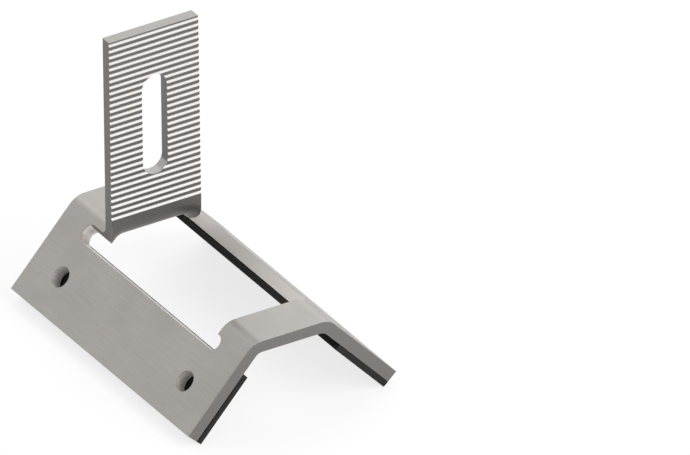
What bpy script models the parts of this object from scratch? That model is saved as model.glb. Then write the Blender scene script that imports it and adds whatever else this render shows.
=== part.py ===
"""Roof hook for mounting rails: one bent steel saddle with an upright plate, on two rubber pads.

The ridge of the saddle runs along Y. The plate stands near the +Y end, its grooved face
towards -Y. The origin is at the middle of the footprint, on the surface under the pads.
Sizes are in metres. The saddle's are taken on the outer face of the sheet.
"""

import math

import bmesh
import bpy
from mathutils import Matrix, Vector

# Saddle
SHEET_THICKNESS = 0.0038
SADDLE_LENGTH = 0.100
FOOT_SPREAD = 0.070
LEG_ANGLE_DEG = 85.0
TOP_WIDTH = 0.0255
SADDLE_BEND_RADIUS = 0.003

# Upright plate, cut from the window and bent up at the root bridge
PLATE_WIDTH = 0.030
PLATE_HEIGHT = 0.0635
PLATE_BEND_RADIUS = 0.002
ROOT_BRIDGE = 0.0205
FREE_BRIDGE = 0.015

# Slot through the plate
PLATE_SLOT_WIDTH = 0.0085
PLATE_SLOT_LENGTH = 0.033
PLATE_SLOT_TOP_MARGIN = 0.0152

# Grooves across the plate's face, down to a smooth band over the bend
GROOVE_PITCH = 0.002
GROOVE_WIDTH = 0.0012
GROOVE_DEPTH = 0.00045
GROOVE_TOP_LAND = 0.00025
GROOVE_SMOOTH_BAND = 0.0036

# Relief slots beside the plate. The slot's lower side is also the window's lower edge.
RELIEF_WIDTH = 0.0048
RELIEF_FREE_OVERRUN = 0.0031
RELIEF_ROOT_OVERRUN = 0.0066
RELIEF_FLARE_DEPTH = 0.00107
RELIEF_FLARE_RADIUS = 0.004
RELIEF_MOUTH_OVERRUN = 0.0004

# Screw holes, two in the middle of each leg's strip
SCREW_HOLE_DIAMETER = 0.0065
SCREW_HOLE_SPACING = 0.070

# Rubber pads under the legs, with the thin line of glue above them
PAD_THICKNESS = 0.0017
PAD_GLUE_GAP = 0.0003

# How far cutters reach past what they cut
CUT_CLEARANCE = 0.002
RIM_CLEARANCE = 0.0004
GROOVE_CLEARANCE = 0.00015
WELD_DISTANCE = 0.000001

# How finely curves are divided
SADDLE_BEND_STEPS = 8
PLATE_BEND_STEPS = 10
FLARE_STEPS = 5
ROUND_STEPS = 32

# Section of the saddle
SIDES = {-1: "left", 1: "right"}
SLOPE = math.radians((180.0 - LEG_ANGLE_DEG) / 2)
KNEE_X = TOP_WIDTH / 2
SADDLE_OUTER_RADIUS = SADDLE_BEND_RADIUS + SHEET_THICKNESS
KNEE_TANGENT = SADDLE_OUTER_RADIUS * math.tan(SLOPE / 2)
KNEE_START_X = KNEE_X - KNEE_TANGENT
FACET_LENGTH = SADDLE_OUTER_RADIUS * SLOPE / SADDLE_BEND_STEPS
LEG_REACH = (FOOT_SPREAD / 2 - KNEE_X) / math.cos(SLOPE)

# Depths and heights
PAD_FACE_DEPTH = SHEET_THICKNESS + PAD_GLUE_GAP
PAD_BACK_DEPTH = PAD_FACE_DEPTH + PAD_THICKNESS
TOP_Z = LEG_REACH * math.sin(SLOPE) + PAD_BACK_DEPTH * math.cos(SLOPE)
PLATE_TOP_Z = TOP_Z + PLATE_HEIGHT

# Places along the ridge
END_Y = SADDLE_LENGTH / 2
FREE_EDGE_Y = FREE_BRIDGE - END_Y
PLATE_BACK_Y = END_Y - ROOT_BRIDGE
PLATE_FRONT_Y = PLATE_BACK_Y - SHEET_THICKNESS
BEND_START_Y = PLATE_BACK_Y + PLATE_BEND_RADIUS
RELIEF_FREE_END_Y = FREE_EDGE_Y - RELIEF_FREE_OVERRUN
RELIEF_ROOT_END_Y = BEND_START_Y + RELIEF_ROOT_OVERRUN

# Distances down each leg from the knee's sharp corner
PLATE_SIDE_DROP = (PLATE_WIDTH / 2 - KNEE_X) / math.cos(SLOPE)
RELIEF_TOP = PLATE_SIDE_DROP + RELIEF_FLARE_DEPTH * math.tan(SLOPE)
WINDOW_DROP = RELIEF_TOP + RELIEF_WIDTH
SCREW_HOLE_DROP = (WINDOW_DROP + LEG_REACH) / 2


def clear_scene():
    for thing in list(bpy.data.objects):
        bpy.data.objects.remove(thing, do_unlink=True)


def make_collection(name):
    group = bpy.data.collections.new(name)
    bpy.context.scene.collection.children.link(group)
    return group


def make_material(name, color, metallic, roughness):
    material = bpy.data.materials.new(name)
    material.use_nodes = True
    shader = material.node_tree.nodes["Principled BSDF"]
    shader.inputs["Base Color"].default_value = (*color, 1.0)
    shader.inputs["Metallic"].default_value = metallic
    shader.inputs["Roughness"].default_value = roughness
    return material


def mesh_object(name, bm, group):
    """Object from a finished bmesh, with round faces shaded smooth and edges kept sharp."""
    mesh = bpy.data.meshes.new(name)
    bm.to_mesh(mesh)
    bm.free()
    mesh.shade_smooth()
    mesh.set_sharp_from_angle(angle=math.radians(30))
    thing = bpy.data.objects.new(name, mesh)
    group.objects.link(thing)
    return thing


def leg_point(drop, depth, y, side):
    """Point on a leg: drop runs down from the knee, depth inwards from the outer face."""
    x = KNEE_X + drop * math.cos(SLOPE) - depth * math.sin(SLOPE)
    z = TOP_Z - drop * math.sin(SLOPE) - depth * math.cos(SLOPE)
    return Vector((side * x, y, z))


def section_length(drop):
    """Length along the outer section, from the ridge's middle, that matches a drop on the leg."""
    return KNEE_START_X + SADDLE_OUTER_RADIUS * SLOPE + drop - KNEE_TANGENT


def section_point(length):
    """Place and outward normal at a length along the outer section, left of the middle minus."""
    side = math.copysign(1.0, length)
    turn = (abs(length) - KNEE_START_X) / SADDLE_OUTER_RADIUS
    turn = min(max(turn, 0.0), SLOPE)
    straight = abs(length) - KNEE_START_X - SADDLE_OUTER_RADIUS * turn
    normal = Vector((side * math.sin(turn), 0, math.cos(turn)))
    along = Vector((side * math.cos(turn), 0, -math.sin(turn)))
    centre = Vector((side * KNEE_START_X, 0, TOP_Z - SADDLE_OUTER_RADIUS))
    return centre + normal * SADDLE_OUTER_RADIUS + along * straight, normal


def facet_corner(step):
    """Length along the section of one corner between the knee's facets, 0 where the top ends."""
    return KNEE_START_X + FACET_LENGTH * step


def rough_length(drop):
    """Length along the section of an edge that is trimmed later. In a knee it is moved to the
    nearest corner between facets, because the sheet's inner face has no room for one more.
    """
    length = section_length(drop)
    steps = (length - KNEE_START_X) / FACET_LENGTH
    return facet_corner(round(steps)) if steps < SADDLE_BEND_STEPS else length


def draw_out(bm, edges, places):
    """Extrudes a row of edges and sets the new points, taken from left to right, at places."""
    made = bmesh.ops.extrude_edge_only(bm, edges=edges)["geom"]
    points = [part for part in made if isinstance(part, bmesh.types.BMVert)]
    points.sort(key=lambda point: point.co.x)
    for point, place in zip(points, places):
        point.co = place
    return [part for part in made if isinstance(part, bmesh.types.BMEdge)]


def sheet_skin(group):
    """Outer face of the bent sheet: the saddle's section drawn along the ridge, a window
    opened in it, and the plate drawn up from the window's edge at the root bridge.
    """
    # The tab and the window are left a little wide here, for the relief cutters to trim
    trim = RELIEF_WIDTH / 5
    tab_edge = rough_length(RELIEF_TOP + trim)
    strip_edge = rough_length(WINDOW_DROP - trim)
    knee = [facet_corner(step) for step in range(SADDLE_BEND_STEPS + 1)]
    right = sorted({*knee, tab_edge, strip_edge, section_length(LEG_REACH)})
    lengths = [-length for length in reversed(right)] + right
    section = [section_point(length) for length in lengths]
    tab_section = [section_point(length) for length in lengths if abs(length) <= tab_edge]

    bm = bmesh.new()
    points = [bm.verts.new(place + Vector((0, -END_Y, 0))) for place, _ in section]
    edges = [bm.edges.new(pair) for pair in zip(points, points[1:])]
    for y in (FREE_EDGE_Y, BEND_START_Y, END_Y):
        edges = draw_out(bm, edges, [place + Vector((0, y, 0)) for place, _ in section])

    window_y = (FREE_EDGE_Y + BEND_START_Y) / 2
    window_x = section_point(strip_edge)[0].x
    window = [face for face in bm.faces
              if abs(face.calc_center_median().x) < window_x
              and abs(face.calc_center_median().y - window_y) < WELD_DISTANCE]
    bmesh.ops.delete(bm, geom=window, context="FACES")

    tab_x = section_point(tab_edge)[0].x + WELD_DISTANCE
    edges = [edge for edge in bm.edges
             if all(abs(point.co.y - BEND_START_Y) < WELD_DISTANCE and abs(point.co.x) < tab_x
                    for point in edge.verts)]
    for step in range(1, PLATE_BEND_STEPS + 1):
        turn = math.pi / 2 * step / PLATE_BEND_STEPS
        y = BEND_START_Y - PLATE_BEND_RADIUS * math.sin(turn)
        lift = PLATE_BEND_RADIUS * (1 - math.cos(turn))
        row = [place + normal * lift + Vector((0, y, 0)) for place, normal in tab_section]
        edges = draw_out(bm, edges, row)
    draw_out(bm, edges, [Vector((place.x, place.y, PLATE_TOP_Z)) for place in row])

    bmesh.ops.recalc_face_normals(bm, faces=bm.faces)
    bm.faces.ensure_lookup_table()
    if bm.faces[0].normal.z < 0:
        bmesh.ops.reverse_faces(bm, faces=bm.faces)
    return mesh_object("hook_body", bm, group)


def relief_outline(depth, tab_side, side):
    """Relief slot at one depth in the leg, round at both ends, its upper side at tab_side."""
    widening = min((RELIEF_TOP - tab_side) / (RELIEF_TOP - PLATE_SIDE_DROP), 1.0)
    root_end = RELIEF_ROOT_END_Y + RELIEF_MOUTH_OVERRUN * widening
    points = []
    for top, end, heading in ((tab_side, root_end, 1.0), (RELIEF_TOP, RELIEF_FREE_END_Y, -1.0)):
        radius = (WINDOW_DROP - top) / 2
        middle = (WINDOW_DROP + top) / 2
        for step in range(ROUND_STEPS // 2 + 1):
            turn = math.pi * step / (ROUND_STEPS // 2)
            drop = middle - heading * radius * math.cos(turn)
            points.append((drop, end - heading * radius * (1 - math.sin(turn))))
    points.append((RELIEF_TOP, PLATE_FRONT_Y - 2 * CUT_CLEARANCE))
    points.append((tab_side, PLATE_FRONT_Y - CUT_CLEARANCE))
    return [leg_point(drop, depth, y, side) for drop, y in points]


def relief_cutter(label, side, group):
    """Cuts the relief slot, the window's lower edge and the side of the plate in one piece.

    On the inside of the sheet the slot is cut square to the leg. Towards the outer face its
    upper side flares, round a radius, into the upright plane of the plate's side edge. It is
    a loft through the slot's outline at each depth, and then straight up past the plate.
    """
    outlines = [relief_outline(SHEET_THICKNESS + CUT_CLEARANCE, RELIEF_TOP, side)]
    flare_end = RELIEF_FLARE_DEPTH + RELIEF_FLARE_RADIUS * math.tan(SLOPE / 2)
    for step in range(FLARE_STEPS + 1):
        turn = SLOPE * step / FLARE_STEPS
        depth = flare_end - RELIEF_FLARE_RADIUS * math.sin(turn)
        tab_side = RELIEF_TOP - RELIEF_FLARE_RADIUS * (1 - math.cos(turn))
        outlines.append(relief_outline(depth, tab_side, side))
    tab_side -= RIM_CLEARANCE * math.tan(SLOPE)
    outlines.append(relief_outline(depth - RIM_CLEARANCE, tab_side, side))
    above = PLATE_TOP_Z + CUT_CLEARANCE
    outlines.append([Vector((point.x, point.y, above)) for point in outlines[-1]])

    bm = bmesh.new()
    rings = [[bm.verts.new(point) for point in outline] for outline in outlines]
    for ring in rings:
        for i in range(len(ring)):
            bm.edges.new((ring[i - 1], ring[i]))
    for low, high in zip(rings, rings[1:]):
        for i in range(len(low)):
            bm.faces.new((low[i - 1], low[i], high[i], high[i - 1]))
    for cap in (rings[0], rings[-1]):
        bm.faces.new(cap)
    bmesh.ops.recalc_face_normals(bm, faces=bm.faces)
    return mesh_object(f"relief_cutter_{label}", bm, group)


def prism_cutter(name, outline, thickness, turn, group):
    """Flat outline drawn as a 2D curve with a thickness, made a mesh and turned into place."""
    curve = bpy.data.curves.new(name, "CURVE")
    curve.dimensions = "2D"
    curve.fill_mode = "BOTH"
    curve.extrude = thickness / 2
    spline = curve.splines.new("POLY")
    spline.points.add(len(outline) - 1)
    for point, (across, up) in zip(spline.points, outline):
        point.co = (across, up, 0, 1)
    spline.use_cyclic_u = True
    drawn = bpy.data.objects.new(name + "_outline", curve)
    group.objects.link(drawn)
    depsgraph = bpy.context.evaluated_depsgraph_get()
    mesh = bpy.data.meshes.new_from_object(drawn.evaluated_get(depsgraph))
    bpy.data.objects.remove(drawn, do_unlink=True)
    bm = bmesh.new()
    bm.from_mesh(mesh)
    bpy.data.meshes.remove(mesh)
    bmesh.ops.remove_doubles(bm, verts=bm.verts, dist=WELD_DISTANCE)
    bmesh.ops.recalc_face_normals(bm, faces=bm.faces)
    cutter = mesh_object(name, bm, group)
    cutter.matrix_world = turn
    return cutter


def plate_slot_cutter(group):
    """Round-ended slot, drawn in X and Z."""
    radius = PLATE_SLOT_WIDTH / 2
    high = PLATE_TOP_Z - PLATE_SLOT_TOP_MARGIN - radius
    low = high - (PLATE_SLOT_LENGTH - PLATE_SLOT_WIDTH)
    outline = []
    for middle, first in ((high, 0.0), (low, math.pi)):
        for step in range(ROUND_STEPS // 2 + 1):
            turn = first + math.pi * step / (ROUND_STEPS // 2)
            outline.append((radius * math.cos(turn), middle + radius * math.sin(turn)))
    middle_y = (PLATE_FRONT_Y + PLATE_BACK_Y) / 2
    upright = Matrix.Translation((0, middle_y, 0)) @ Matrix.Rotation(math.pi / 2, 4, "X")
    thickness = SHEET_THICKNESS + 2 * CUT_CLEARANCE
    return prism_cutter("plate_slot_cutter", outline, thickness, upright, group)


def groove_cutter(group):
    """Comb whose V teeth are the grooves, drawn in Y and Z and longer than the plate is wide."""
    first = PLATE_TOP_Z - GROOVE_TOP_LAND - GROOVE_WIDTH / 2
    last = TOP_Z + GROOVE_SMOOTH_BAND + GROOVE_WIDTH / 2
    count = 1 + int((first - last) / GROOVE_PITCH)
    face_y = PLATE_FRONT_Y - GROOVE_CLEARANCE
    half_mouth = GROOVE_WIDTH / 2 * (1 + GROOVE_CLEARANCE / GROOVE_DEPTH)
    back_y = face_y - CUT_CLEARANCE
    outline = [(back_y, first - GROOVE_PITCH * count), (back_y, first + GROOVE_PITCH)]
    for i in range(count):
        z = first - GROOVE_PITCH * i
        outline.append((face_y, z + half_mouth))
        outline.append((PLATE_FRONT_Y + GROOVE_DEPTH, z))
        outline.append((face_y, z - half_mouth))
    # The drawing's across, up and out run along Y, Z and X
    sideways = Matrix(((0, 0, 1, 0), (1, 0, 0, 0), (0, 1, 0, 0), (0, 0, 0, 1)))
    thickness = PLATE_WIDTH + 2 * CUT_CLEARANCE
    return prism_cutter("groove_cutter", outline, thickness, sideways, group)


def screw_hole_cutter(label, side, y, group):
    bm = bmesh.new()
    radius = SCREW_HOLE_DIAMETER / 2
    length = SHEET_THICKNESS + 2 * CUT_CLEARANCE
    bmesh.ops.create_cone(
        bm, cap_ends=True, segments=ROUND_STEPS, radius1=radius, radius2=radius, depth=length)
    cutter = mesh_object(f"screw_hole_cutter_{label}", bm, group)
    cutter.location = leg_point(SCREW_HOLE_DROP, SHEET_THICKNESS / 2, y, side)
    cutter.rotation_euler = (0, side * SLOPE, 0)
    return cutter


def make_cutters(group):
    cutters = []
    for side, label in SIDES.items():
        cutters.append(relief_cutter(label, side, group))
        for end, heading in (("free", -1.0), ("root", 1.0)):
            y = heading * SCREW_HOLE_SPACING / 2
            cutters.append(screw_hole_cutter(f"{label}_{end}", side, y, group))
    cutters.append(plate_slot_cutter(group))
    cutters.append(groove_cutter(group))
    for cutter in cutters:
        cutter.hide_render = True
        cutter.display_type = "WIRE"
    return cutters


def make_hook_body(group, cutter_group, material):
    hook = sheet_skin(group)
    hook.data.materials.append(material)
    sheet = hook.modifiers.new("sheet", "SOLIDIFY")
    sheet.thickness = SHEET_THICKNESS
    sheet.offset = -1.0
    sheet.use_even_offset = True
    sheet.use_quality_normals = True
    for cutter in make_cutters(cutter_group):
        cut = hook.modifiers.new(cutter.name, "BOOLEAN")
        cut.operation = "DIFFERENCE"
        cut.solver = "EXACT"
        cut.object = cutter
    return hook


def make_pad(label, side, group, material):
    """Flat rubber strip along the inside of one leg, from the window's edge to the foot."""
    size = Matrix.Diagonal((LEG_REACH - WINDOW_DROP, SADDLE_LENGTH, PAD_THICKNESS, 1.0))
    bm = bmesh.new()
    bmesh.ops.create_cube(bm, size=1.0, matrix=size)
    pad = mesh_object(f"rubber_pad_{label}", bm, group)
    pad.data.materials.append(material)
    middle_depth = (PAD_FACE_DEPTH + PAD_BACK_DEPTH) / 2
    pad.location = leg_point((WINDOW_DROP + LEG_REACH) / 2, middle_depth, 0, side)
    pad.rotation_euler = (0, side * SLOPE, 0)
    return pad


def main():
    clear_scene()
    parts = make_collection("roof_hook")
    cutters = make_collection("cutters")
    steel = make_material("satin_stainless_steel", (0.42, 0.40, 0.38), 1.0, 0.38)
    rubber = make_material("black_rubber", (0.03, 0.03, 0.03), 0.0, 0.75)
    make_hook_body(parts, cutters, steel)
    for side, label in SIDES.items():
        make_pad(label, side, parts, rubber)


main()
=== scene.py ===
"""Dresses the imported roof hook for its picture: satin stainless steel, black rubber and a studio.

Sizes are in metres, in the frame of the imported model. The ridge of the saddle runs along Y.
"""

import math

import bmesh
import bpy
from mathutils import Matrix, Vector


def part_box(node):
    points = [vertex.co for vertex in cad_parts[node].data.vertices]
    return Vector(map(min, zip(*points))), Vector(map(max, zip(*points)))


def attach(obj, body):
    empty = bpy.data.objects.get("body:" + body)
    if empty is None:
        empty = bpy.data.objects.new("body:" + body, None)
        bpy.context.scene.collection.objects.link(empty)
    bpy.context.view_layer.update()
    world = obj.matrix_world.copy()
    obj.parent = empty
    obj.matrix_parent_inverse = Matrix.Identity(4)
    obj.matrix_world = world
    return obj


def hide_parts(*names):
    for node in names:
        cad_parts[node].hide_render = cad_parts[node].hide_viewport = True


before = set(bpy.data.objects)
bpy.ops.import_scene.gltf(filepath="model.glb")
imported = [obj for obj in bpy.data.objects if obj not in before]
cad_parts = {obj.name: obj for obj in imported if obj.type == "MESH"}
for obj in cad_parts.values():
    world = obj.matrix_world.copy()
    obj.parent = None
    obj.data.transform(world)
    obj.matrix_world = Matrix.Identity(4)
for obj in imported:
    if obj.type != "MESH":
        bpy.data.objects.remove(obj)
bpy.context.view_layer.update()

bl_info = {
    "name": "Roof Hook Dressing",
    "version": (1, 0, 0),
    "blender": (4, 5, 0),
    "location": "3D View > Sidebar > Roof Hook",
    "description": "Finishes, studio and camera for a stainless roof hook on rubber pads",
    "category": "Object",
}

MM = 0.001
BODY = "root"
HOOK = "hook_body"
PADS = ("rubber_pad_left", "rubber_pad_right")

# The plate stands on the saddle, and grooves cross it down to a smooth band over its bend
PLATE_HEIGHT = 63.5 * MM
PLATE_MIDDLE_Y = 27.6 * MM
GROOVE_SMOOTH_BAND = 3.6 * MM

# The edges of the feet lie lower than this
FOOT_BAND = 6 * MM

# The pads are packed with this gap to the steel that they are glued to
PAD_GAP = 0.3 * MM
GLUE_LINE = 0.01 * MM

# Places of faces are compared with this much to spare
MARGIN = 1 * MM

# Each rolled skin is larger than this, in square metres, and each cut face is smaller
SKIN_AREA = 0.001

# Packed corners closer than this are merged, and faces that fold by less than this are joined
MERGE_DISTANCE = 0.002 * MM
FLAT_LIMIT = math.radians(0.2)

# Folds over the corner limit are corners of the sheet, and those under the smooth limit are
# shaded as one curve. The grooves fold from the plate's face by 37 degrees, and the flares of
# the relief slots run out into the skins at more than the group limit.
CORNER_LIMIT = math.radians(50)
SMOOTH_LIMIT = math.radians(35)
GROUP_LIMIT = math.radians(30)

# A face looks along an axis where its normal's share of that axis is over one of these. The
# flanks of the grooves have 0.8 of theirs across the plate, and the lands between them 1.
GROOVED_SIDE_SHARE = 0.7
LAND_SHARE = 0.9
PLATE_SIDE_SHARE = 0.9
UPWARD_SHARE = 0.4
GLUED_FACE_SHARE = 0.5

# A face is cut square through the plate where its normal's share across it is under this
SQUARE_CUT_SHARE = 0.1

# Steps that round off a broken edge
EDGE_SEGMENTS = 3

# Finishes of the sheet, numbered as its material slots. The fourth is a painted highlight on the
# grooves' up-facing flanks.
# The fifth slot, the sheet's reverse, is a darker copy of the rolled steel: painted shade
ROLLED, SHEARED, PUNCHED, BURNISHED, REVERSE = range(5)

# How metallic each finish is. The torn and rubbed ones scatter part of their light evenly.
ROLLED_METALLIC = 0.85
SHEARED_METALLIC = 0.6
PUNCHED_METALLIC = 0.4
# The grooves' painted highlight is fully metallic, so that it catches the front lamp
BURNISHED_METALLIC = 1.0

# Sockets of the Mix node, which has several of each name
FACTOR = 0
VALUE_A, VALUE_B = 2, 3
COLOUR_A, COLOUR_B = 6, 7
COLOUR_RESULT = 2

# The picture's frame, and where the middle of the saddle's flat top lies in it
PICTURE_WIDTH = 690
PICTURE_HEIGHT = 455
SADDLE_TOP_PIXEL = (202.393, 257.298)
CAMERA_DISTANCE = 1.0
CAMERA_CLIP_START = 0.01

FLOOR_SIZE = 6.0
LAMP_DISTANCE = 1.0
LAMP_AIM_HEIGHT = 30 * MM

# Softboxes: the direction that each lies in, its size in metres and its brightness. The flat
# top reflects the first and the near leg the second, and the two meet in the bend between.
# The grooves reflect the third, and the last one lights the ends.
SOFTBOXES = {
    "back_right": ((0.436, 0.744, 0.506), 1.2, 1.22),
    "back_left": ((-0.50, 0.744, 0.43), 1.2, 0.8),
    "front_right": ((0.436, -0.694, 0.573), 0.85, 2.2),
    "front_low": ((0.25, -0.95, 0.2), 0.8, 2.5),
}


def linear(value):
    """Linear colour of an sRGB hex value such as 'b4afa9'."""
    channels = [int(value[i:i + 2], 16) / 255 for i in (0, 2, 4)]
    return tuple(c / 12.92 if c <= 0.04045 else ((c + 0.055) / 1.055) ** 2.4 for c in channels)


def toned(colour, factor):
    """Value for a colour socket, lighter or darker than a colour by a factor."""
    return (*(channel * factor for channel in colour), 1.0)


def add_node(tree, kind, settings=None, links=None):
    """Adds a node. Settings name its properties or inputs, links name the sockets fed in.

    An input that shares its name with another one goes by its number.
    """
    node = tree.nodes.new(kind)
    for name, value in (settings or {}).items():
        if isinstance(name, str) and hasattr(node, name):
            setattr(node, name, value)
        else:
            node.inputs[name].default_value = value
    for name, socket in (links or {}).items():
        tree.links.new(socket, node.inputs[name])
    return node


def colour_property(name, description, value):
    return bpy.props.FloatVectorProperty(
        name=name, description=description, subtype="COLOR", size=3, min=0.0, max=1.0,
        default=linear(value))


def length_property(name, description, value):
    return bpy.props.FloatProperty(
        name=name, description=description, unit="LENGTH", subtype="DISTANCE", min=0.0,
        precision=5, default=value)


def share_property(name, description, value):
    return bpy.props.FloatProperty(
        name=name, description=description, subtype="FACTOR", min=0.0, max=1.0, default=value)


def angle_property(name, description, degrees):
    return bpy.props.FloatProperty(
        name=name, description=description, unit="ROTATION", subtype="ANGLE",
        default=math.radians(degrees))


class RoofHookSteel(bpy.types.PropertyGroup):
    """Finish of the bent sheet."""

    colour: colour_property("Steel colour", "Rolled face of the stainless sheet", "989490")
    # Painted shade: the darker copy of the rolled steel on the grooved face, its bend and the
    # saddle's underside
    reverse_colour: colour_property("Reverse colour", "Reverse face of the sheet", "6c6967")
    edge_colour: colour_property("Sheared edge colour", "Outer edges of the blank", "73716e")
    # The walls' pale colour is partly the punch's rubbing and partly painted light on walls that
    # lie in shade inside the openings
    wall_colour: colour_property("Punched wall colour", "Walls of the punched openings", "e6e1dc")
    # Painted highlight: the finish of the grooves' up-facing flanks, picked by which way they face
    burnished_colour: colour_property("Groove highlight colour", "Up-facing groove flanks, a painted highlight", "979592")
    roughness: share_property("Roughness", "Spread of the satin reflection", 0.38)
    burnished_roughness: share_property(
        "Groove highlight roughness", "Spread of the reflection on the up-facing groove flanks", 0.26)
    edge_roughness: share_property(
        "Edge roughness", "Spread of the reflection on cut edges", 0.5)
    edge_round: length_property("Edge round", "Width broken off the cut edges", 0.14 * MM)


class RoofHookRubber(bpy.types.PropertyGroup):
    """Finish of the pads under the legs."""

    colour: colour_property("Rubber colour", "Black EPDM rubber", "1c1c1b")
    roughness: share_property("Roughness", "Roughness of the cut rubber sheet", 0.72)
    edge_round: length_property("Edge round", "Radius of the pads' cut edges", 0.12 * MM)


class RoofHookStage(bpy.types.PropertyGroup):
    """Floor, lamps and camera."""

    floor_colour: colour_property("Floor colour", "Pale floor and backdrop", "ffffff")
    shadow_share: share_property(
        "Shadow share", "Share of the floor's white that its shadow can take", 0.22)
    paper_share: share_property(
        "Paper reflectance", "Share of its light that the paper scatters", 0.8)
    world_brightness: bpy.props.FloatProperty(
        name="Room brightness", description="Even light from all round", min=0.0, default=0.5)
    lamp_brightness: bpy.props.FloatProperty(
        name="Lamp brightness", description="Factor on all the softboxes", min=0.0, default=1.0)
    camera_azimuth: angle_property("Azimuth", "Camera's angle round the hook", -30.373)
    camera_elevation: angle_property("Elevation", "Camera's angle above the floor", 30.432)
    camera_roll: angle_property("Roll", "Camera's turn about its own axis", -0.913)
    pixels_per_mm: bpy.props.FloatProperty(
        name="Picture scale", description="Pixels of the picture for each millimetre",
        default=3.465)


def finish_material(name):
    """Empty node material with its shader and output, and the piece's own coordinates."""
    material = bpy.data.materials.new(name)
    material.use_nodes = True
    tree = material.node_tree
    tree.nodes.clear()
    output = add_node(tree, "ShaderNodeOutputMaterial")
    shader = add_node(tree, "ShaderNodeBsdfPrincipled")
    tree.links.new(shader.outputs["BSDF"], output.inputs["Surface"])
    place = add_node(tree, "ShaderNodeTexCoord").outputs["Object"]
    return material, tree, shader, place


def rolled_steel(name, colour, roughness):
    """Austenitic stainless sheet, cold rolled, pickled and skin passed.

    The rolls leave a satin with very fine lines along the sheet, which run on round the bend
    and up the plate. They are drawn about ten times as coarse as they are, so that they show.
    The pickling leaves faint cloudy patches. The reverse of the sheet, which is the saddle's
    underside and the plate's grooved side, takes a darker copy of this steel as painted shade.
    """
    material, tree, shader, place = finish_material(name)
    line_width = 0.3 * MM
    line_length = 14 * MM
    line_height = 0.01 * MM
    line_strength = 0.15
    cloud_size = 16 * MM
    line_share = 0.5
    darkest, palest = 0.75, 1.25
    roughness_spread = 0.05
    stretched = add_node(tree, "ShaderNodeMapping",
                         {"Scale": (1 / line_width, 1 / line_length, 1 / line_length)},
                         {"Vector": place})
    lines = add_node(tree, "ShaderNodeTexNoise",
                     {"Scale": 1.0, "Detail": 3.0, "Roughness": 0.55},
                     {"Vector": stretched.outputs["Vector"]})
    clouds = add_node(tree, "ShaderNodeTexNoise",
                      {"Scale": 1 / cloud_size, "Detail": 4.0, "Roughness": 0.5},
                      {"Vector": place})
    both = add_node(tree, "ShaderNodeMix", {"data_type": "FLOAT", FACTOR: line_share},
                    {VALUE_A: clouds.outputs["Fac"], VALUE_B: lines.outputs["Fac"]})
    tone = add_node(tree, "ShaderNodeMix",
                    {"data_type": "RGBA", COLOUR_A: toned(colour, darkest),
                     COLOUR_B: toned(colour, palest)},
                    {FACTOR: both.outputs["Result"]})
    spread = add_node(tree, "ShaderNodeMapRange",
                      {"To Min": roughness - roughness_spread,
                       "To Max": roughness + roughness_spread},
                      {"Value": lines.outputs["Fac"]})
    bump = add_node(tree, "ShaderNodeBump",
                    {"Strength": line_strength, "Distance": line_height},
                    {"Height": lines.outputs["Fac"]})
    shader.inputs["Metallic"].default_value = ROLLED_METALLIC
    tree.links.new(tone.outputs[COLOUR_RESULT], shader.inputs["Base Color"])
    tree.links.new(spread.outputs["Result"], shader.inputs["Roughness"])
    tree.links.new(bump.outputs["Normal"], shader.inputs["Normal"])
    return material


def cut_steel(name, colour, roughness, metallic):
    """The same steel where a press tool went through it, with a fine irregular grain.

    A sheared edge is torn over part of its depth, so it is duller than the rolled face. The
    wall of a punched opening is rubbed by the punch, and its colour is also lifted near white as
    painted light on walls that lie in shade inside the holes and the window. The flank of a groove
    that looks up is made the shiniest as a painted highlight, and the flank that looks down takes
    the darker sheared finish as painted shade. The grain is drawn some five times as coarse as it
    is, so that it shows.
    """
    material, tree, shader, place = finish_material(name)
    grain_size = 0.35 * MM
    grain_height = 0.02 * MM
    grain_strength = 0.3
    darkest, palest = 0.85, 1.15
    grain = add_node(tree, "ShaderNodeTexNoise",
                     {"Scale": 1 / grain_size, "Detail": 3.0, "Roughness": 0.6},
                     {"Vector": place})
    tone = add_node(tree, "ShaderNodeMix",
                    {"data_type": "RGBA", COLOUR_A: toned(colour, darkest),
                     COLOUR_B: toned(colour, palest)},
                    {FACTOR: grain.outputs["Fac"]})
    bump = add_node(tree, "ShaderNodeBump",
                    {"Strength": grain_strength, "Distance": grain_height},
                    {"Height": grain.outputs["Fac"]})
    shader.inputs["Metallic"].default_value = metallic
    shader.inputs["Roughness"].default_value = roughness
    tree.links.new(tone.outputs[COLOUR_RESULT], shader.inputs["Base Color"])
    tree.links.new(bump.outputs["Normal"], shader.inputs["Normal"])
    return material


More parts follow.
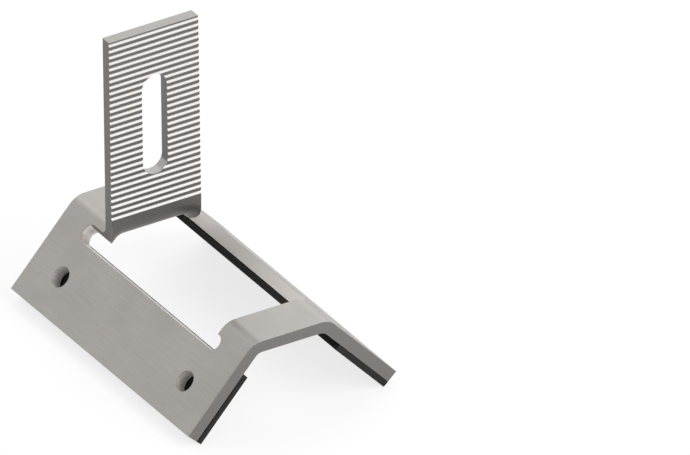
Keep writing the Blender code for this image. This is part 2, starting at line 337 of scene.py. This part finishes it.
def black_rubber(settings):
    """EPDM rubber, calendered into sheet and cut into strips.

    The rollers leave a dull, slightly uneven skin with a faint bloom that greys the black.
    The skin's pits catch part of the light, so it shines half as much as smooth rubber. They
    are drawn a few times as wide as they are, so that they show.
    """
    material, tree, shader, place = finish_material("black_epdm_rubber")
    bloom_size = 9 * MM
    pit_size = 0.6 * MM
    pit_depth = 0.05 * MM
    pit_strength = 0.25
    darkest, palest = 0.8, 1.35
    specular_level = 0.25
    bloom = add_node(tree, "ShaderNodeTexNoise",
                     {"Scale": 1 / bloom_size, "Detail": 4.0, "Roughness": 0.6},
                     {"Vector": place})
    skin = add_node(tree, "ShaderNodeTexNoise",
                    {"Scale": 1 / pit_size, "Detail": 2.0},
                    {"Vector": place})
    tone = add_node(tree, "ShaderNodeMix",
                    {"data_type": "RGBA", COLOUR_A: toned(settings.colour, darkest),
                     COLOUR_B: toned(settings.colour, palest)},
                    {FACTOR: bloom.outputs["Fac"]})
    bump = add_node(tree, "ShaderNodeBump",
                    {"Strength": pit_strength, "Distance": pit_depth},
                    {"Height": skin.outputs["Fac"]})
    shader.inputs["Roughness"].default_value = settings.roughness
    shader.inputs["Specular IOR Level"].default_value = specular_level
    tree.links.new(tone.outputs[COLOUR_RESULT], shader.inputs["Base Color"])
    tree.links.new(bump.outputs["Normal"], shader.inputs["Normal"])
    return material


def deselect_all():
    for thing in bpy.context.selected_objects:
        thing.select_set(False)


def use_alone(thing):
    """Selects one object and makes it the active one."""
    deselect_all()
    thing.select_set(True)
    bpy.context.view_layer.objects.active = thing


def dressed_copy(node, name):
    """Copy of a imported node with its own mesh, its loose triangles merged to one skin."""
    thing = bpy.data.objects.new(name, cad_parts[node].data.copy())
    bpy.context.scene.collection.objects.link(thing)
    thing.data.materials.clear()
    use_alone(thing)
    bpy.ops.mesh.customdata_custom_splitnormals_clear()
    bpy.ops.object.mode_set(mode="EDIT")
    bpy.ops.mesh.select_all(action="SELECT")
    bpy.ops.mesh.remove_doubles(threshold=MERGE_DISTANCE)
    bpy.ops.mesh.dissolve_limited(angle_limit=FLAT_LIMIT)
    bpy.ops.object.mode_set(mode="OBJECT")
    return thing


def finish_modifier(thing, kind, **settings):
    """Adds a modifier, sets it and applies it."""
    modifier = thing.modifiers.new(kind.lower(), kind)
    for name, value in settings.items():
        setattr(modifier, name, value)
    use_alone(thing)
    bpy.ops.object.modifier_apply(modifier=modifier.name)


def connected_faces(bm, fold_limit):
    """Groups of faces joined across edges that fold by less than a limit."""
    left = set(bm.faces)
    while left:
        group = set()
        waiting = [left.pop()]
        while waiting:
            face = waiting.pop()
            group.add(face)
            for edge in face.edges:
                for other in edge.link_faces:
                    if other in left and edge.calc_face_angle(0.0) < fold_limit:
                        left.discard(other)
                        waiting.append(other)
        yield group


class ROOFHOOK_OT_hook_body(bpy.types.Operator):
    """Dresses the bent sheet: broken edges, rolled faces, cut edges, and grooves whose up-facing
    flanks carry a painted highlight
    """

    bl_idname = "roofhook.hook_body"
    bl_label = "Hook Body"
    bl_options = {"REGISTER", "UNDO"}

    def execute(self, context):
        settings = context.scene.roof_hook_steel
        hook = dressed_copy(HOOK, "satin_hook_body")
        for finish in self.finishes(settings):
            hook.data.materials.append(finish)
        bpy.ops.object.mode_set(mode="EDIT")
        self.mark_finishes(hook)
        self.select_corners(hook)
        bpy.ops.transform.edge_bevelweight(value=1.0)
        bpy.ops.object.mode_set(mode="OBJECT")
        finish_modifier(hook, "BEVEL", limit_method="WEIGHT", width=settings.edge_round,
                        segments=EDGE_SEGMENTS, use_clamp_overlap=False, material=ROLLED)
        bpy.ops.object.shade_smooth_by_angle(angle=SMOOTH_LIMIT)
        finish_modifier(hook, "WEIGHTED_NORMAL", keep_sharp=True)
        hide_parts(HOOK)
        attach(hook, BODY)
        return {"FINISHED"}

    def finishes(self, settings):
        """Materials of the sheet, in the order of its material slots."""
        return (
            rolled_steel("satin_stainless_face", settings.colour, settings.roughness),
            cut_steel("sheared_stainless_edge", settings.edge_colour,
                      settings.edge_roughness, SHEARED_METALLIC),
            # Partly painted light: the pale walls of the openings, which lie in shade
            cut_steel("punched_stainless_wall", settings.wall_colour,
                      settings.edge_roughness, PUNCHED_METALLIC),
            # Painted highlight on the grooves' up-facing flanks
            cut_steel("burnished_stainless", settings.burnished_colour,
                      settings.burnished_roughness, BURNISHED_METALLIC),
            # Painted shade on the sheet's reverse
            rolled_steel("dull_stainless_reverse", settings.reverse_colour,
                         settings.roughness),
        )

    def mark_finishes(self, hook):
        """Gives each face of the sheet its finish.

        The bottom of the plate's slot and the plate's end face up, and take the lighter rolled
        finish in place of the sheared one as painted light.
        """
        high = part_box(HOOK)[1]
        saddle_top = high.z - PLATE_HEIGHT
        groove_start = saddle_top + GROOVE_SMOOTH_BAND
        bm = bmesh.from_edit_mesh(hook.data)
        bm.normal_update()
        for group in connected_faces(bm, GROUP_LIMIT):
            rolled = sum(face.calc_area() for face in group) > SKIN_AREA
            group_top = max(face.calc_center_median().z for face in group)
            reverse = rolled and group_top < groove_start + MARGIN
            for face in group:
                middle = face.calc_center_median()
                normal = face.normal
                on_plate = middle.z > groove_start
                square_cut = on_plate and abs(normal.y) < SQUARE_CUT_SHARE
                on_grooves = on_plate and normal.y < -GROOVED_SIDE_SHARE
                on_land = on_grooves and normal.y < -LAND_SHARE
                on_saddle = FOOT_BAND < middle.z < saddle_top
                inside_ends = abs(middle.y) < high.y - MARGIN
                # The reverse side and the lands between the grooves take the darker copy of the
                # rolled steel: painted shade
                if reverse or on_land:
                    face.material_index = REVERSE
                # The plate's end and the bottom of its slot face up and take the lighter rolled
                # finish: painted light
                elif rolled or square_cut and normal.z > UPWARD_SHARE:
                    face.material_index = ROLLED
                # The grooves' up-facing flanks take the shinier finish as a painted highlight, and
                # their down-facing flanks fall to the darker sheared finish below as painted shade
                elif on_grooves and normal.z > 0:
                    face.material_index = BURNISHED
                elif on_saddle and inside_ends and abs(normal.x) < PLATE_SIDE_SHARE:
                    face.material_index = PUNCHED
                else:
                    face.material_index = SHEARED
        bmesh.update_edit_mesh(hook.data)

    def select_corners(self, hook):
        """Selects the corners of the sheet that are broken.

        The grooved side keeps its corners as the grooving tool left them.
        """
        groove_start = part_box(HOOK)[1].z - PLATE_HEIGHT + GROOVE_SMOOTH_BAND
        bm = bmesh.from_edit_mesh(hook.data)
        for edge in bm.edges:
            top = max(vert.co.z for vert in edge.verts)
            front = max(vert.co.y for vert in edge.verts) < PLATE_MIDDLE_Y
            corner = edge.calc_face_angle(0.0) > CORNER_LIMIT
            edge.select_set(corner and not (front and top > groove_start))
        bmesh.update_edit_mesh(hook.data)


class ROOFHOOK_OT_rubber_pads(bpy.types.Operator):
    """Dresses the two rubber strips under the legs"""

    bl_idname = "roofhook.rubber_pads"
    bl_label = "Rubber Pads"
    bl_options = {"REGISTER", "UNDO"}

    def execute(self, context):
        settings = context.scene.roof_hook_rubber
        rubber = black_rubber(settings)
        for node in PADS:
            pad = dressed_copy(node, "cut_" + node)
            pad.data.materials.append(rubber)
            self.seat_on_steel(pad)
            finish_modifier(pad, "BEVEL", width=settings.edge_round, segments=EDGE_SEGMENTS)
            bpy.ops.object.shade_smooth_by_angle(angle=SMOOTH_LIMIT)
            finish_modifier(pad, "WEIGHTED_NORMAL", keep_sharp=True)
            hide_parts(node)
            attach(pad, BODY)
        return {"FINISHED"}

    def seat_on_steel(self, pad):
        """Lifts the glued face, which looks outwards and up, to the underside of the leg."""
        bpy.ops.object.mode_set(mode="EDIT")
        bm = bmesh.from_edit_mesh(pad.data)
        bm.normal_update()
        lift = Vector()
        for face in bm.faces:
            upward = face.normal.z > GLUED_FACE_SHARE
            outward = face.normal.x * face.calc_center_median().x > 0
            face.select_set(upward and outward)
            if upward and outward:
                lift = face.normal * (PAD_GAP - GLUE_LINE)
        bmesh.update_edit_mesh(pad.data)
        bpy.ops.transform.translate(value=lift)
        bpy.ops.object.mode_set(mode="OBJECT")


def view_axes(settings):
    """Right, up and back of the camera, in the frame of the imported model."""
    azimuth = settings.camera_azimuth
    elevation = settings.camera_elevation
    roll = settings.camera_roll
    level = Vector((math.cos(azimuth), math.sin(azimuth), 0))
    back = Vector((math.sin(azimuth) * math.cos(elevation),
                   -math.cos(azimuth) * math.cos(elevation), math.sin(elevation)))
    upright = back.cross(level)
    right = level * math.cos(roll) + upright * math.sin(roll)
    up = upright * math.cos(roll) - level * math.sin(roll)
    return right, up, back


def white_paper(settings):
    """Matt white paper that reads as an even white, with the object's shadow still on it.

    To the camera and to reflections it adds a glow to the little that it scatters, which
    together make white, so the shadow is light but stays. To other light it is plain paper.
    """
    material = bpy.data.materials.new("white_paper")
    material.use_nodes = True
    tree = material.node_tree
    tree.nodes.clear()
    output = add_node(tree, "ShaderNodeOutputMaterial")
    white = settings.floor_colour
    paper = add_node(tree, "ShaderNodeBsdfDiffuse",
                     {"Color": toned(white, settings.paper_share)})
    dim_paper = add_node(tree, "ShaderNodeBsdfDiffuse",
                         {"Color": toned(white, settings.shadow_share)})
    glow = add_node(tree, "ShaderNodeEmission",
                    {"Color": toned(white, 1.0), "Strength": 1.0 - settings.shadow_share})
    lit = add_node(tree, "ShaderNodeAddShader", {},
                   {0: dim_paper.outputs["BSDF"], 1: glow.outputs["Emission"]})
    path = add_node(tree, "ShaderNodeLightPath")
    camera_or_gloss = add_node(tree, "ShaderNodeMath", {"operation": "MAXIMUM"},
                               {0: path.outputs["Is Camera Ray"],
                                1: path.outputs["Is Glossy Ray"]})
    seen = add_node(tree, "ShaderNodeMath", {"operation": "MAXIMUM"},
                    {0: camera_or_gloss.outputs["Value"],
                     1: path.outputs["Is Transmission Ray"]})
    mix = add_node(tree, "ShaderNodeMixShader", {},
                   {0: seen.outputs["Value"], 1: paper.outputs["BSDF"],
                    2: lit.outputs["Shader"]})
    tree.links.new(mix.outputs["Shader"], output.inputs["Surface"])
    return material


def add_softbox(name, direction, size, brightness, aim):
    """Square lamp turned to a point. A brightness of 1 is as bright as the white floor."""
    data = bpy.data.lights.new(name, "AREA")
    data.shape = "SQUARE"
    data.size = size
    data.energy = brightness * math.pi * size * size
    lamp = bpy.data.objects.new(name, data)
    bpy.context.scene.collection.objects.link(lamp)
    away = Vector(direction).normalized()
    lamp.location = aim + away * LAMP_DISTANCE
    lamp.rotation_euler = away.to_track_quat("Z", "Y").to_euler()


class ROOFHOOK_OT_stage(bpy.types.Operator):
    """Builds the floor, the soft lamps and the camera"""

    bl_idname = "roofhook.stage"
    bl_label = "Stage"
    bl_options = {"REGISTER", "UNDO"}

    def execute(self, context):
        settings = context.scene.roof_hook_stage
        scene = context.scene
        self.add_floor(settings)
        self.add_lights(scene, settings)
        self.add_camera(scene, settings)
        scene.view_settings.view_transform = "Standard"
        return {"FINISHED"}

    def add_floor(self, settings):
        deselect_all()
        bpy.ops.mesh.primitive_plane_add(size=FLOOR_SIZE, location=(0, 0, 0))
        floor = bpy.context.active_object
        floor.name = "studio_floor"
        floor.data.materials.append(white_paper(settings))

    def add_lights(self, scene, settings):
        world = bpy.data.worlds.new("studio_world")
        scene.world = world
        world.use_nodes = True
        background = world.node_tree.nodes["Background"]
        background.inputs["Color"].default_value = (1.0, 1.0, 1.0, 1.0)
        background.inputs["Strength"].default_value = settings.world_brightness
        aim = Vector((0, 0, LAMP_AIM_HEIGHT))
        for name, (direction, size, brightness) in SOFTBOXES.items():
            add_softbox(name, direction, size, brightness * settings.lamp_brightness, aim)

    def add_camera(self, scene, settings):
        """Places the camera so that the middle of the saddle's top lies at its pixel."""
        right, up, back = view_axes(settings)
        scale = settings.pixels_per_mm / MM
        across = (PICTURE_WIDTH / 2 - SADDLE_TOP_PIXEL[0]) / scale
        above = (SADDLE_TOP_PIXEL[1] - PICTURE_HEIGHT / 2) / scale
        saddle_top = Vector((0, 0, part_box(HOOK)[1].z - PLATE_HEIGHT))
        data = bpy.data.cameras.new("picture_camera")
        data.type = "ORTHO"
        data.ortho_scale = PICTURE_WIDTH / scale
        data.clip_start = CAMERA_CLIP_START
        camera = bpy.data.objects.new("picture_camera", data)
        scene.collection.objects.link(camera)
        turn = Matrix((right, up, back)).transposed().to_4x4()
        middle = saddle_top + right * across + up * above + back * CAMERA_DISTANCE
        camera.matrix_world = Matrix.Translation(middle) @ turn
        scene.camera = camera


class ROOFHOOK_PT_panel(bpy.types.Panel):
    """Lists the settings and the steps"""

    bl_idname = "ROOFHOOK_PT_panel"
    bl_label = "Roof Hook"
    bl_space_type = "VIEW_3D"
    bl_region_type = "UI"
    bl_category = "Roof Hook"

    def draw(self, context):
        for title, (holder, group) in SETTINGS.items():
            box = self.layout.box()
            box.label(text=title)
            settings = getattr(context.scene, holder)
            for setting in group.__annotations__:
                box.prop(settings, setting)
        for step in STEPS:
            self.layout.operator(step.bl_idname)


SETTINGS = {
    "Steel": ("roof_hook_steel", RoofHookSteel),
    "Rubber": ("roof_hook_rubber", RoofHookRubber),
    "Stage": ("roof_hook_stage", RoofHookStage),
}
STEPS = (ROOFHOOK_OT_stage, ROOFHOOK_OT_hook_body, ROOFHOOK_OT_rubber_pads)


def register():
    for holder, group in SETTINGS.values():
        bpy.utils.register_class(group)
        setattr(bpy.types.Scene, holder, bpy.props.PointerProperty(type=group))
    for step in STEPS:
        bpy.utils.register_class(step)
    bpy.utils.register_class(ROOFHOOK_PT_panel)


def unregister():
    bpy.utils.unregister_class(ROOFHOOK_PT_panel)
    for step in reversed(STEPS):
        bpy.utils.unregister_class(step)
    for holder, group in SETTINGS.values():
        delattr(bpy.types.Scene, holder)
        bpy.utils.unregister_class(group)


def main():
    register()
    bpy.ops.roofhook.stage()
    bpy.ops.roofhook.hook_body()
    bpy.ops.roofhook.rubber_pads()


if __name__ == "__main__":
    main()
